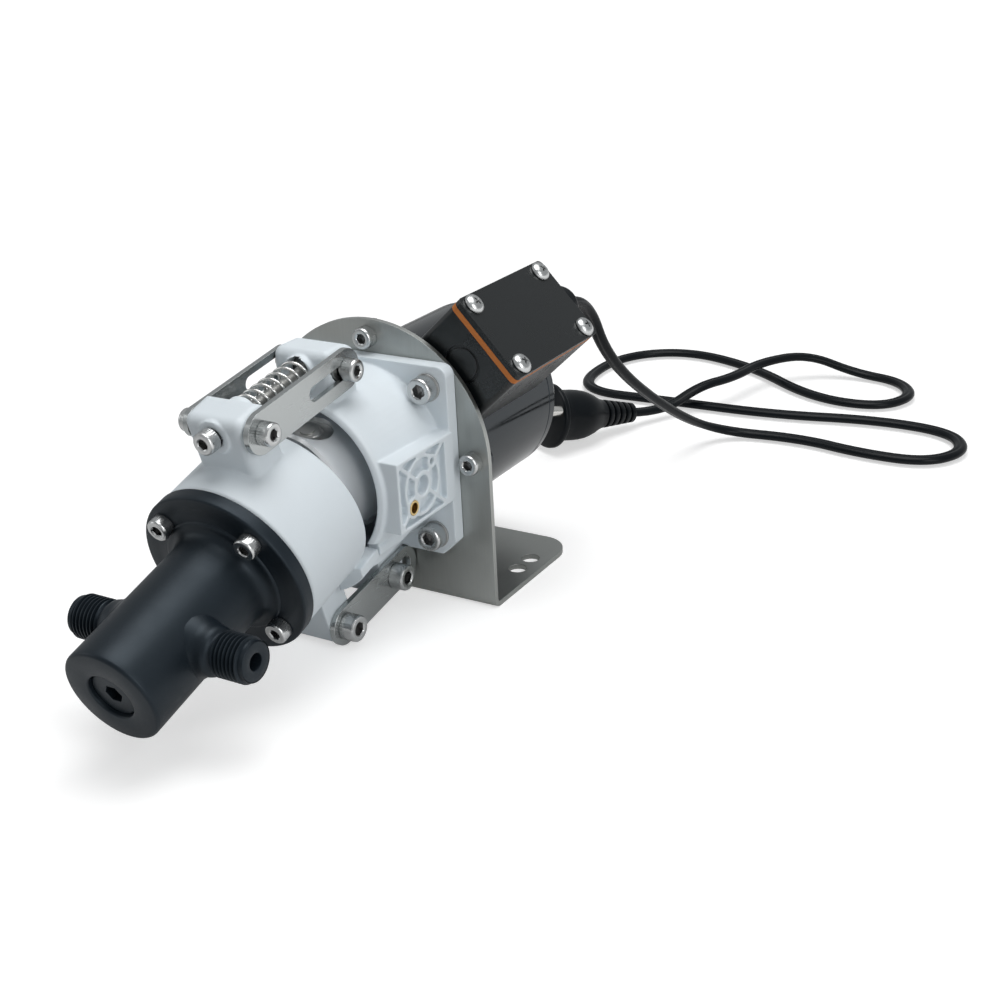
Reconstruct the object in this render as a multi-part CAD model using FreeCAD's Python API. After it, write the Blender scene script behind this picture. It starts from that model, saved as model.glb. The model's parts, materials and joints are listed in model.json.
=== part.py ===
import FreeCAD, Part
import math
import os

# Ceramic metering pump, in millimetres.
# Everything is drawn in the pump frame: X to the right, Y to the rear with 0 on the
# front face of the bracket, Z up with 0 on the motor axis. On export it all moves so
# that the origin is the middle of the four foot holes, on the underside of the foot.

V = FreeCAD.Vector
os.makedirs("parts", exist_ok=True)

# Bracket
axis_height = 50.0
arch_radius = 42.0
plate = 1.8
foot_depth = 53.0
foot_corner = 10.0
bend_outer = 3.0
bend_inner = 1.2
foot_hole_radius = 3.1
foot_hole_x = 35.2
foot_hole_mid_y = 30.6
foot_hole_gap = 8.8
pilot_radius = 21.9

# Screws, M4 except the two M5 ones of the lower straps
thread_radius = 2.0
lower_thread_radius = 2.5
lower_head_radius = 4.25
lower_head_height = 5.0
lower_socket_flats = 4.0
tapped_gap = 0.05
running_gap = 0.06
free_gap = 0.3
nut_gap = 0.25
head_radius = 3.5
head_height = 4.0
socket_flats = 3.0
socket_depth = 2.2
washer_radius = 4.5
washer_height = 0.8
base_screw_length = 8.6

# Motor
motor_radius = 30.7
motor_wall = 2.0
motor_end = 65.0
bell_depth = 8.2
rear_bell_depth = 5.0
rear_hub_depth = 8.0
motor_screw_circle = 36.5
ear_radius = 4.5
shaft_radius = 4.0
bearing_radius = 11.0
bearing_width = 7.0
rotor_radius = 15.8
air_gap = 0.4
stator_start = 18.0
stator_end = 44.0

# Base housing
flange_half = 31.4
flange_depth = 5.0
flange_corner = 3.5
flange_cut = 5.0
base_screw_at = 24.5
base_bore = 25.7
base_front = 37.4
barrel_root = 29.5
barrel_tip = 28.2
rim_round = 2.0
boss_face = 32.6
boss_half = 11.3
boss_front = 35.5
core_depth = 2.5
core_wall = 1.2
core_rear = -9.8
core_rib = 1.3
core_ring_inner = 4.6
core_ring_outer = 8.4
core_ring_wall = 1.2
boss_mid_y = -22.4
boss_mid_z = 0.2
boss_hole_radius = 3.0
pin_hole_radius = 1.1
pin_hole_depth = 6.0
pin_hole_y = -16.9
pin_hole_z = 5.8
insert_radius = 2.3
insert_bore = 1.65
insert_depth = 6.0
insert_y = -27.8
insert_z = -5.2

# Tilting head, measured along its own axis v from where it crosses the motor axis
tilt = 16.5
cross_y = -37.5
knee_y = -34.6
knee_z = -20.0
pad_gap = 0.15
pad_in = 12.5
pad_out = 23.5
cup_radius = 27.0
cup_bore = 24.3
cup_rear = 8.3
cup_wall = 31.0
flange_v = 37.6
flange_radius = 27.4
flange_thick = 4.5
flange_circle = 22.0
tube_radius = 15.3
tube_end = 92.7
port_v = 68.9
port_reach = 31.2
port_thread_radius = 6.58
port_thread_depth = 0.8
port_thread_length = 11.4
port_bore = 2.44
port_flare = 7.4
port_inner = 8.0
hub_radius = 19.3
hub_height = 0.8
liner_radius = 9.0
liner_start = 40.0
liner_end = tube_end - 8.7
recess_radius = 7.33
plug_end = tube_end - 1.4
plug_socket_flats = 5.0
seal_width = 2.4

# Straps and blocks
block_half = 10.55
strap_in = 10.7
strap_out = 12.5
strap_end = 6.25
upper_far_end = 4.5
slot_gap = 0.35
slot_spare = 0.2
upper_front_y = -68.8
upper_front_z = 29.8
upper_rear_y = -28.7
upper_rear_z = 35.9
upper_slot_start = 24.6
lower_front_y = -40.1
lower_front_z = -43.5
lower_rear_y = -12.5
lower_rear_z = -38.4
lower_slot_end = 34.2
trunnion_radius = 4.0
rear_block_front = -34.5
rear_block_rear = -22.0
rear_block_top = 42.0
rear_block_root = 24.0
block_round = 3.0
lower_block_half = 6.0
lower_block_drop = 5.8
seat_height = 1.5
seat_radius = 5.6
adjust_head_out = 7.2
adjust_hole = 2.9
adjust_swing = 12.4

# Spring
spring_radius = 4.3
wire_radius = 0.65
spring_turns = 6.5

# Drive
drum_radius = 20.0
drum_front = -46.0
drum_rear = -8.0
drum_bore = 13.2
drum_floor = -21.0
ball_ring = 16.0
ball_angle = 10.0
race_radius = 7.2
race_half = 2.5
ball_radius = 5.0
ball_half = 3.2
pin_radius = 2.2
piston_radius = 5.0
piston_tip = 70.0
piston_tail = -8.0
cap_radius = 6.3
cap_start = -10.2
cap_end = 4.0
pin_gap = 0.5

# Terminal box, turned about the motor axis
box_turn = 46.9
box_half = 15.2
box_front = 3.4
box_rear = 54.7
box_top = 57.7
lid_thick = 2.0
gasket_thick = 1.8
box_wall = 2.5
box_corner = 2.0
lid_screw_x = 11.5
lid_screw_front = 8.5
lid_screw_rear = 49.8
pan_radius = 3.4
pan_height = 2.2
post_radius = 3.0
gland_radius = 7.0
gland_at = 50.5
gland_end = 61.5

# Cord and plug
cord_diameter = 5.2
plug_disc_radius = 15.0
plug_disc_thick = 4.0
plug_length = 44.0
plug_pin_radius = 2.4
plug_pin_length = 19.0
plug_pin_at = 9.5
cord_floor = cord_diameter / 2 - axis_height
cord_hump = cord_floor + 8.6
plug_end_point = V(9.6, 168.0, -43.4)


# Small shape helpers

def rod(radius, start, end):
    way = end.sub(start)
    return Part.makeCylinder(radius, way.Length, start, way)


def rod_x(radius, x0, x1, y, z):
    return rod(radius, V(x0, y, z), V(x1, y, z))


def rod_y(radius, y0, y1, x=0.0, z=0.0):
    return rod(radius, V(x, y0, z), V(x, y1, z))


def block(x0, x1, y0, y1, z0, z1):
    return Part.makeBox(x1 - x0, y1 - y0, z1 - z0, V(x0, y0, z0))


def prism(points, way):
    wire = Part.makePolygon([V(*p) for p in points + points[:1]])
    return Part.Face(wire).extrude(way)


def turned(profile):
    """Solid of revolution about Z from (radius, height) corners."""
    wire = Part.makePolygon([V(r, 0, z) for r, z in profile + profile[:1]])
    return Part.Face(wire).revolve(V(0, 0, 0), V(0, 0, 1), 360)


def aim(shape, point, way):
    """Turn a shape drawn along +Z so that it looks along way, and put it at point."""
    made = shape.copy()
    turn = FreeCAD.Rotation(V(0, 0, 1), way)
    made.Placement = FreeCAD.Placement(point, turn).multiply(made.Placement)
    return made


def turned_y(profile):
    """Revolution about the Y axis from (radius, y) corners."""
    return aim(turned(profile), V(0, 0, 0), V(0, 1, 0))


def near(value, target):
    return abs(value - target) < 0.01


def edges_at(shape, test):
    return [e for e in shape.Edges if test(e.CenterOfMass, e)]


def tapped(radius=thread_radius):
    return radius + tapped_gap


# Screws, drawn with the bearing face at 0 and the head above it

def hexagon(flats, depth):
    corner = flats / 2 / math.cos(math.radians(30))
    ring = [V(corner * math.cos(math.radians(a)), corner * math.sin(math.radians(a)), 0) for a in range(0, 361, 60)]
    return Part.Face(Part.makePolygon(ring)).extrude(V(0, 0, depth))


def socket_screw(length, radius=thread_radius, head=head_radius, height=head_height, flats=socket_flats):
    edge = 0.35
    profile = [(0, -length), (radius, -length), (radius, 0), (head, 0),
               (head, height - edge), (head - edge, height), (0, height)]
    socket = hexagon(flats, socket_depth)
    socket.translate(V(0, 0, height - socket_depth))
    return turned(profile).cut(socket)


def pan_screw(length, radius):
    profile = [(0, -length), (radius, -length), (radius, 0), (pan_radius, 0),
               (pan_radius, pan_height * 0.45), (pan_radius * 0.72, pan_height * 0.9),
               (pan_radius * 0.3, pan_height), (0, pan_height)]
    return turned(profile)


def grouped(shapes):
    return Part.makeCompound(shapes)


# Where the tilted head sits

def head_place(shape):
    """Take a head piece drawn straight, front towards -Y, into the tilted pose."""
    made = shape.copy()
    turn = FreeCAD.Rotation(V(1, 0, 0), tilt)
    made.Placement = FreeCAD.Placement(V(0, cross_y, 0), turn).multiply(made.Placement)
    return made


def head_point(u, v, w):
    c = math.cos(math.radians(tilt))
    s = math.sin(math.radians(tilt))
    return V(u, cross_y - c * v - s * w, c * w - s * v)


def in_head(y, z):
    c = math.cos(math.radians(tilt))
    s = math.sin(math.radians(tilt))
    ry = y - cross_y
    return -c * ry - s * z, c * z - s * ry


def head_turned(profile):
    """Revolution about the head axis from (radius, v) corners."""
    return aim(turned(profile), V(0, 0, 0), V(0, -1, 0))


upper_v, upper_w = in_head(upper_front_y, upper_front_z)
lower_v, lower_w = in_head(lower_front_y, lower_front_z)
knee_v, knee_w = in_head(knee_y, knee_z)
upper_front = V(0, upper_front_y, upper_front_z)
upper_rear = V(0, upper_rear_y, upper_rear_z)
upper_way = upper_rear.sub(upper_front).normalize()
upper_length = upper_rear.sub(upper_front).Length
lower_front = V(0, lower_front_y, lower_front_z)
lower_rear = V(0, lower_rear_y, lower_rear_z)
lower_way = lower_rear.sub(lower_front).normalize()
lower_length = lower_rear.sub(lower_front).Length


# Bracket and motor

def bracket():
    arch = rod_y(arch_radius, 0, plate)
    legs = block(-arch_radius, arch_radius, 0, plate, -axis_height, 0)
    foot = block(-arch_radius, arch_radius, 0, foot_depth, -axis_height, plate - axis_height)
    corners = edges_at(foot, lambda c, e: near(c.y, foot_depth) and near(abs(c.x), arch_radius))
    foot = foot.makeFillet(foot_corner, corners)
    made = arch.fuse(legs).fuse(foot).removeSplitter()
    outer = edges_at(made, lambda c, e: near(c.y, 0) and near(c.z, -axis_height))
    made = made.makeFillet(bend_outer, outer)
    inner = edges_at(made, lambda c, e: near(c.y, plate) and near(c.z, plate - axis_height))
    made = made.makeFillet(bend_inner, inner)
    holes = [rod_y(pilot_radius + tapped_gap, -1, plate + 1)]
    for x, z in motor_screw_spots() + base_screw_spots():
        holes.append(rod_y(tapped(), -1, plate + 1, x, z))
    for x in (-foot_hole_x, foot_hole_x):
        for y in (foot_hole_mid_y - foot_hole_gap / 2, foot_hole_mid_y + foot_hole_gap / 2):
            holes.append(rod(foot_hole_radius, V(x, y, -axis_height - 1), V(x, y, -axis_height + 5)))
    return made.cut(holes)


def motor_screw_spots():
    r = motor_screw_circle
    return [(r, 0), (0, r), (-r, 0), (0, -r)]


def base_screw_spots():
    r = base_screw_at
    return [(x, z) for x in (-r, r) for z in (-r, r)]


def motor_front_bell():
    end = plate + bell_depth
    made = rod_y(motor_radius, plate, end)
    for x, z in motor_screw_spots():
        inner = block(-ear_radius, ear_radius, plate, end - 1, 0, motor_screw_circle)
        arm = inner.fuse(rod_y(ear_radius, plate, end - 1, 0, motor_screw_circle))
        arm.rotate(V(0, 0, 0), V(0, 1, 0), math.degrees(math.atan2(x, z)))
        made = made.fuse(arm)
    made = made.fuse(rod_y(pilot_radius, -1.5, plate))
    cuts = [rod_y(shaft_radius + 1, -3, end + 1), rod_y(bearing_radius + tapped_gap, end - bearing_width, end + 1)]
    for x, z in motor_screw_spots():
        cuts.append(rod_y(tapped(), plate - 1, end - 2, x, z))
    return made.cut(cuts)


def motor_shell():
    start = plate + bell_depth
    end = motor_end - rear_bell_depth
    return rod_y(motor_radius, start, end).cut(rod_y(motor_radius - motor_wall, start - 1, end + 1))


def motor_rear_bell():
    start = motor_end - rear_bell_depth
    edge = 1.6
    hub = bearing_radius + 3
    inner = start - rear_hub_depth
    profile = [(0, inner), (hub, inner), (hub, start), (motor_radius, start),
               (motor_radius, motor_end - edge), (motor_radius - edge * 0.3, motor_end - edge * 0.3),
               (motor_radius - edge, motor_end), (0, motor_end)]
    pocket = rod_y(bearing_radius + tapped_gap, inner - 1, inner + bearing_width)
    return turned_y(profile).cut(pocket)


def motor_bearings():
    front = plate + bell_depth - bearing_width
    rear = motor_end - rear_bell_depth - rear_hub_depth
    made = []
    for y in (front, rear):
        outer = rod_y(bearing_radius, y, y + bearing_width - 0.1)
        made.append(outer.cut(rod_y(shaft_radius + tapped_gap, y - 1, y + bearing_width + 1)))
    return grouped(made)


def stator():
    outer = rod_y(motor_radius - motor_wall - tapped_gap, stator_start, stator_end)
    return outer.cut(rod_y(rotor_radius + air_gap, stator_start - 1, stator_end + 1))


def windings():
    made = []
    for y0, y1 in ((stator_start - 5, stator_start), (stator_end, stator_end + 5)):
        outer = rod_y(motor_radius - motor_wall - 2, y0, y1)
        made.append(outer.cut(rod_y(rotor_radius + 2, y0 - 1, y1 + 1)))
    return grouped(made)


def motor_screws():
    made = []
    for x, z in motor_screw_spots():
        made.append(aim(socket_screw(plate + bell_depth - 2.5), V(x, 0, z), V(0, -1, 0)))
    return grouped(made)


# Base housing with the drum well

def base_housing():
    flange = block(-flange_half, flange_half, -flange_depth, 0, -flange_half, flange_half)
    top = edges_at(flange, lambda c, e: near(abs(c.x), flange_half) and near(c.z, flange_half))
    flange = flange.makeFillet(flange_corner, top)
    low = edges_at(flange, lambda c, e: near(abs(c.x), flange_half) and near(c.z, -flange_half))
    flange = flange.makeChamfer(flange_cut, low)
    front = -base_front
    barrel = turned_y([(0, front), (barrel_tip - rim_round, front),
                       (barrel_tip - rim_round * 0.3, front + rim_round * 0.3),
                       (barrel_tip, front + rim_round), (barrel_root, -flange_depth), (0, -flange_depth)])
    boss = block(15, boss_face, -boss_front, -flange_depth, -boss_half, boss_half)
    made = flange.fuse(barrel).fuse(boss)
    made = made.fuse(upper_rear_block()).fuse(lower_rear_block())
    for side in (-1, 1):
        made = made.fuse(base_pad(side))
    cuts = [rod_y(base_bore, front - 1, -flange_depth), rod_y(pilot_radius + tapped_gap, -flange_depth - 1, 1)]
    for x, z in base_screw_spots():
        cuts.append(rod_y(tapped(), -flange_depth - 1, 1, x, z))
        cuts.append(rod_y(washer_radius + free_gap, front - 5, -flange_depth, x, z))
    cuts += boss_cores()
    for side in (-1, 1):
        cuts.append(knee_cut(side))
    cuts.append(rod_x(trunnion_radius + free_gap, -30, 30, upper_rear_y, upper_rear_z))
    cuts += adjust_sweep()
    cuts.append(rod_x(tapped(lower_thread_radius), -30, 30, lower_rear_y, lower_rear_z))
    for side in (-1, 1):
        cuts.append(lower_strap_room(side))
    for x, z in motor_screw_spots():
        cuts.append(rod_y(head_radius + free_gap, front - 5, 1, x, z))
    return made.cut(cuts)


def adjust_sweep():
    """Slot for the adjusting screw, which swings about the rear trunnion as the head tilts."""
    steps = 4
    made = []
    for i in range(steps + 1):
        a = math.radians(adjust_swing * i / steps)
        c, s = math.cos(a), math.sin(a)
        way = V(0, upper_way.y * c + upper_way.z * s, upper_way.z * c - upper_way.y * s)
        made.append(rod(thread_radius + free_gap, upper_rear.sub(way * 20), upper_rear.add(way * 26)))
    return made


def lower_strap_room(side):
    """Clearance for the end of a lower strap at the lower edge of the flange."""
    thick = strap_out - strap_in + 2 * free_gap
    made = slab(strap_end + free_gap, 0.0, lower_slot_end, thick)
    made.rotate(V(0, 0, 0), V(1, 0, 0), math.degrees(math.atan2(lower_way.z, lower_way.y)))
    x0 = (strap_in if side > 0 else -strap_out) - free_gap
    made.translate(V(x0, lower_front.y, lower_front.z))
    return made


def upper_rear_block():
    made = block(-block_half, block_half, rear_block_front, rear_block_rear, rear_block_root, rear_block_top)
    edges = edges_at(made, lambda c, e: near(c.z, rear_block_top))
    edges += edges_at(made, lambda c, e: near(c.y, rear_block_front) and near(abs(c.x), block_half))
    made = made.makeFillet(block_round, edges)
    start = upper_rear.sub(upper_way * (upper_rear_y - rear_block_front + seat_height))
    return made.fuse(rod(seat_radius, start, upper_rear.sub(upper_way * 2)))


def lower_rear_block():
    front = lower_rear_y - lower_block_half
    low = lower_rear_z - lower_block_drop
    made = block(-block_half, block_half, front, -flange_depth, low, -rear_block_root)
    edges = edges_at(made, lambda c, e: near(c.z, low) and near(c.y, front))
    return made.makeFillet(block_round, edges)


def base_pad(side):
    """Fixed half of the knee that the head rocks on."""
    x0 = min(side * pad_in, side * pad_out)
    lump = block(x0, x0 + pad_out - pad_in, knee_y, -16, -31, -17)
    shell = turned_y([(0, knee_y - 3), (31.6, knee_y - 3), (31.6, -28.4), (29.6, -16), (0, -16)])
    return lump.common(shell)


def knee_cut(side):
    """Room for the rocking pad: upright above the knee, sloping back below it."""
    x0 = min(side * (pad_in - free_gap), side * (pad_out + free_gap))
    face = knee_y + pad_gap
    drop = 12.0
    back = drop * math.tan(math.radians(tilt))
    side_view = [(x0, -50, -15.5), (x0, face, -15.5), (x0, face, knee_z),
                 (x0, face + back, knee_z - drop), (x0, -50, knee_z - drop)]
    return prism(side_view, V(pad_out - pad_in + 2 * free_gap, 0, 0))


def boss_cores():
    """Pockets of the side boss: a ring of them round the hole and more in the corners, between ribs."""
    x0 = boss_face - core_depth
    x1 = boss_face + 1
    pockets = block(x0, x1, core_wall - boss_front, core_rear, core_wall - boss_half, boss_half - core_wall)
    pockets = pockets.cut(boss_rod(core_ring_outer + core_ring_wall, x0 - 1, x1 + 1))
    ring = boss_rod(core_ring_outer, x0, x1).cut(boss_rod(core_ring_inner, x0 - 1, x1 + 1))
    kept = [rod_x(insert_radius + core_wall, x0 - 1, x1 + 1, insert_y, insert_z),
            rod_x(pin_hole_radius + core_wall, x0 - 1, x1 + 1, pin_hole_y, pin_hole_z)]
    for turn in (-40, 40):
        rib = block(x0 - 1, x1 + 1, -boss_front, boss_front, -core_rib / 2, core_rib / 2)
        rib.rotate(V(0, 0, 0), V(1, 0, 0), turn)
        rib.translate(V(0, boss_mid_y, boss_mid_z))
        kept.append(rib)
    cuts = [pockets.fuse(ring).cut(kept), boss_rod(boss_hole_radius, x0 - 1, x1)]
    cuts.append(rod_x(insert_radius + 0.01, boss_face - insert_depth, x1, insert_y, insert_z))
    cuts.append(rod_x(pin_hole_radius, boss_face - pin_hole_depth, x1, pin_hole_y, pin_hole_z))
    return cuts


def boss_rod(radius, x0, x1):
    return rod_x(radius, x0, x1, boss_mid_y, boss_mid_z)


def brass_insert():
    made = rod_x(insert_radius, boss_face - insert_depth, boss_face, insert_y, insert_z)
    return made.cut(rod_x(insert_bore, boss_face - insert_depth - 1, boss_face + 1, insert_y, insert_z))


def base_screws():
    face = -flange_depth - washer_height
    return grouped([aim(socket_screw(base_screw_length), V(x, face, z), V(0, -1, 0)) for x, z in base_screw_spots()])


def base_washers():
    face = -flange_depth
    made = []
    for x, z in base_screw_spots():
        ring = rod_y(washer_radius, face - washer_height, face, x, z)
        made.append(ring.cut(rod_y(thread_radius + 0.2, face - 2, face + 1, x, z)))
    return grouped(made)


# Head that tilts

def cup_housing():
    edge = 1.0
    made = head_turned([(0, cup_rear), (cup_radius - edge, cup_rear), (cup_radius, cup_rear + edge),
                        (cup_radius, flange_v - edge), (cup_radius - edge, flange_v), (0, flange_v)])
    made = made.fuse(upper_front_block()).fuse(lower_front_block())
    for side in (-1, 1):
        made = made.fuse(head_pad(side))
    cuts = [head_turned([(0, 0), (cup_bore, 0), (cup_bore, cup_wall), (0, cup_wall)])]
    cuts.append(rod_y(spigot_radius() + tapped_gap, -flange_v - 1, -cup_wall + 1))
    for x, z in flange_spots():
        cuts.append(rod_y(tapped(), -flange_v - 1, -cup_wall - 1.5, x, z))
    cuts.append(rod_x(trunnion_radius + free_gap, -30, 30, -upper_v, upper_w))
    cuts.append(rod_x(lower_thread_radius + free_gap, -30, 30, -lower_v, lower_w))
    cuts.append(adjust_room())
    return made.cut(cuts)


def spigot_radius():
    return liner_radius + 3.2


def flange_spots():
    r = flange_circle * math.sqrt(0.5)
    return [(x, z) for x in (-r, r) for z in (-r, r)]


def head_way():
    """Middle direction of the adjusting screw in the straight head, from front to rear."""
    rear_v, rear_w = in_head(upper_rear_y, upper_rear_z)
    first = math.atan2(rear_w - upper_w, upper_v - rear_v)
    straight_v = knee_v - (upper_rear_y - knee_y)
    last = math.atan2(upper_rear_z - upper_w, upper_v - straight_v)
    middle = (first + last) / 2
    return V(0, math.cos(middle), math.sin(middle))


def adjust_room():
    centre = V(0, -upper_v, upper_w)
    return rod(adjust_hole, centre.sub(head_way() * 20), centre.add(head_way() * 20))


def upper_front_block():
    top = upper_w + 6.0
    made = block(-block_half, block_half, -upper_v - 5.8, -upper_v + 6.5, 22, top)
    edges = edges_at(made, lambda c, e: near(c.z, top))
    edges += edges_at(made, lambda c, e: near(c.y, -upper_v - 5.8) and near(abs(c.x), block_half))
    made = made.makeFillet(block_round, edges)
    centre = V(0, -upper_v, upper_w)
    seat = rod(seat_radius, centre, centre.add(head_way() * (6.5 + seat_height)))
    nose = rod(seat_radius - 0.4, centre, centre.sub(head_way() * 6.4))
    return made.fuse(seat).fuse(nose)


def lower_front_block():
    low = lower_w - 4.4
    made = block(-block_half, block_half, -lower_v - 5.4, -lower_v + 6, low, -22)
    edges = edges_at(made, lambda c, e: near(c.z, low))
    return made.makeFillet(block_round, edges)


def head_pad(side):
    """Moving half of the knee."""
    x0 = min(side * pad_in, side * pad_out)
    lump = block(x0, x0 + pad_out - pad_in, -12.8, -knee_v - pad_gap, -31, -17)
    shell = rod_y(31.0, -12.8, 0)
    return lump.common(shell)


def head_block():
    edge = 1.0
    front = flange_v + flange_thick
    made = head_turned([(0, cup_wall), (spigot_radius(), cup_wall), (spigot_radius(), flange_v),
                        (flange_radius, flange_v), (flange_radius, front - 0.5), (flange_radius - 0.5, front),
                        (hub_radius, front), (hub_radius, front + hub_height),
                        (tube_radius + 1.2, front + hub_height + 0.2), (tube_radius, front + hub_height + 1.6),
                        (tube_radius, tube_end - edge), (tube_radius - edge * 0.3, tube_end - edge * 0.3),
                        (tube_radius - edge, tube_end), (0, tube_end)])
    for side in (-1, 1):
        made = made.fuse(port(side))
    cuts = [rod_y(liner_radius + tapped_gap, -liner_end, -cup_wall + 1)]
    cuts.append(head_turned([(0, liner_end - 1), (recess_radius, liner_end - 1), (recess_radius, tube_end - 0.4),
                             (recess_radius + 0.5, tube_end + 0.1), (0, tube_end + 0.1)]))
    cuts.append(rod_x(port_bore, -port_reach - 1, port_reach + 1, -port_v, 0))
    for x, z in flange_spots():
        cuts.append(rod_y(thread_radius + 0.2, -front - 1, -flange_v + 1, x, z))
        cuts.append(rod_y(head_radius + free_gap, -front - head_height, -front, x, z))
    return made.cut(cuts)


def port(side):
    """Port: flared root, relief groove, then the threaded length at its crest size."""
    root = port_thread_radius - port_thread_depth
    start = port_reach - port_thread_length
    profile = [(0, port_inner), (port_flare, port_inner), (port_flare, tube_radius - 1.6),
               (root + 0.5, tube_radius + 0.6), (root + 0.4, start - 1.2), (root, start - 0.8),
               (root, start - 0.3), (port_thread_radius, start),
               (port_thread_radius, port_reach - 0.6), (root, port_reach), (0, port_reach)]
    return aim(turned(profile), V(0, -port_v, 0), V(side, 0, 0))


def flange_screws():
    face = -flange_v - flange_thick
    return grouped([aim(socket_screw(9.5), V(x, face, z), V(0, -1, 0)) for x, z in flange_spots()])


def ceramic_liner():
    made = rod_y(liner_radius, -liner_end + 0.1, -liner_start)
    bore = rod_y(piston_radius + running_gap, -liner_end - 1, -liner_start + 1)
    return made.cut([bore, rod_x(port_bore, -20, 20, -port_v, 0)])


def lip_seals():
    made = []
    for start in (cup_wall + 1.0, cup_wall + 1.0 + seal_width + 0.6):
        ring = rod_y(liner_radius, -start - seal_width, -start)
        made.append(ring.cut(rod_y(piston_radius + running_gap, -start - seal_width - 1, -start + 1)))
    return grouped(made)


def end_plug():
    radius = recess_radius - tapped_gap
    made = head_turned([(0, liner_end), (radius, liner_end), (radius, plug_end - 0.4), (radius - 0.4, plug_end),
                        (0, plug_end)])
    socket = aim(hexagon(plug_socket_flats, 3.0), V(0, -plug_end + 2.5, 0), V(0, -1, 0))
    return made.cut(socket)


# Rotating drive and piston

def drive_shaft():
    return rod_y(shaft_radius, drum_rear - 10, motor_end - rear_bell_depth - 2)


def rotor():
    made = rod_y(rotor_radius, stator_start, stator_end)
    return made.cut(rod_y(shaft_radius + tapped_gap, stator_start - 1, stator_end + 1))


def ball_way():
    a = math.radians(ball_angle)
    return V(math.sin(a), 0, math.cos(a))


def ball_centre():
    return V(0, cross_y, 0).add(ball_way() * ball_ring)


def pin_way():
    """Direction from the head axis to the ball, square to the head axis."""
    a = math.radians(ball_angle)
    w = math.cos(a) * math.cos(math.radians(tilt))
    return head_point(math.sin(a), 0, w).sub(head_point(0, 0, 0)).normalize()


def ball_distance():
    a = math.radians(ball_angle)
    return ball_ring * math.hypot(math.sin(a), math.cos(a) * math.cos(math.radians(tilt)))


def drum():
    made = turned_y([(0, drum_front), (drum_radius - 0.8, drum_front), (drum_radius, drum_front + 0.8),
                     (drum_radius, drum_rear - 0.8), (drum_radius - 0.8, drum_rear), (0, drum_rear)])
    way = ball_way()
    hub = V(0, drum_rear - 5, 0)
    cuts = [rod_y(drum_bore, drum_front - 1, drum_floor), rod_y(shaft_radius + tapped_gap, drum_floor - 1, 0)]
    cuts.append(rod(race_radius + tapped_gap, ball_centre().sub(way * 8), ball_centre().add(way * 8)))
    cuts.append(rod(tapped(), hub, hub.add(way * 30)))
    return made.cut(cuts)


def drum_set_screw():
    way = ball_way()
    hub = V(0, drum_rear - 5, 0)
    made = rod(thread_radius, hub.add(way * (shaft_radius + 0.1)), hub.add(way * (shaft_radius + 8)))
    socket = aim(hexagon(2.0, 3.0), hub.add(way * (shaft_radius + 6)), way)
    return made.cut(socket)


def bearing_race():
    way = ball_way()
    centre = ball_centre()
    ring = rod(race_radius, centre.sub(way * race_half), centre.add(way * race_half))
    return ring.cut(Part.makeSphere(ball_radius + tapped_gap, centre))


def bearing_ball():
    way = pin_way()
    centre = ball_centre()
    slab = rod(ball_radius + 1, centre.sub(way * ball_half), centre.add(way * ball_half))
    made = Part.makeSphere(ball_radius, centre).common(slab)
    return made.cut(rod(pin_radius + tapped_gap, centre.sub(way * 9), centre.add(way * 9)))


def drive_pin():
    way = pin_way()
    centre = ball_centre()
    inner = ball_distance() - cap_radius - pin_gap
    return rod(pin_radius, centre.sub(way * inner), centre.add(way * 3.6))


def piston_cap():
    made = rod_y(cap_radius, -cap_end, -cap_start)
    return made.cut(rod_y(piston_radius + 0.01, -cap_end - 1, -piston_tail))


def piston():
    made = rod_y(piston_radius, -piston_tip, -piston_tail)
    flat = block(-10, 10, -piston_tip - 1, -piston_tip + 14, piston_radius * 0.35, 10)
    return made.cut(flat)


# Straps, trunnions, adjusting screw and spring

def strap(side, front, rear_length, slot_start, slot_end, way, screw, half=strap_end):
    """Flat link with a round hole at the front and a long slot to the rear."""
    thick = strap_out - strap_in
    made = slab(half, 0.0, rear_length, thick)
    hole = screw + (tapped_gap if side < 0 else 0.1)
    made = made.cut([rod_x(hole, -1, 3, 0, 0), slab(screw + slot_gap, slot_start, slot_end, thick)])
    made.rotate(V(0, 0, 0), V(1, 0, 0), math.degrees(math.atan2(way.z, way.y)))
    made.translate(V(strap_in if side > 0 else -strap_out, front.y, front.z))
    return made


def slab(half, start, end, thick):
    middle = block(0, thick, start, end, -half, half)
    return middle.fuse(rod_x(half, 0, thick, start, 0)).fuse(rod_x(half, 0, thick, end, 0))


def upper_strap(side):
    half = strap_end if side > 0 else upper_far_end
    start = upper_slot_start - slot_spare
    return strap(side, upper_front, upper_length, start, upper_length, upper_way, thread_radius, half)


def lower_strap(side):
    start = lower_length - 1.0
    return strap(side, lower_front, lower_slot_end, start, lower_slot_end, lower_way, lower_thread_radius)


def cross_screw(point, inner):
    """Screw with its head on the near strap and its thread towards -X."""
    return aim(socket_screw(strap_out - inner), V(strap_out, point.y, point.z), V(1, 0, 0))


def lower_cross_screw(point):
    made = socket_screw(2 * strap_out, lower_thread_radius, lower_head_radius, lower_head_height, lower_socket_flats)
    return aim(made, V(strap_out, point.y, point.z), V(1, 0, 0))


def trunnion(point, way, hole):
    made = rod_x(trunnion_radius, -block_half, block_half, point.y, point.z)
    made = made.fuse(rod_x(thread_radius - 0.01, -strap_out, -block_half + 1, point.y, point.z))
    made = made.cut(rod(hole, point.sub(way * 10), point.add(way * 10)))
    return made.cut(rod_x(tapped(), 4.0, block_half + 1, point.y, point.z))


def front_trunnion():
    return trunnion(upper_front, upper_way, thread_radius + running_gap)


def rear_trunnion():
    return trunnion(upper_rear, upper_way, thread_radius + nut_gap)


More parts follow.
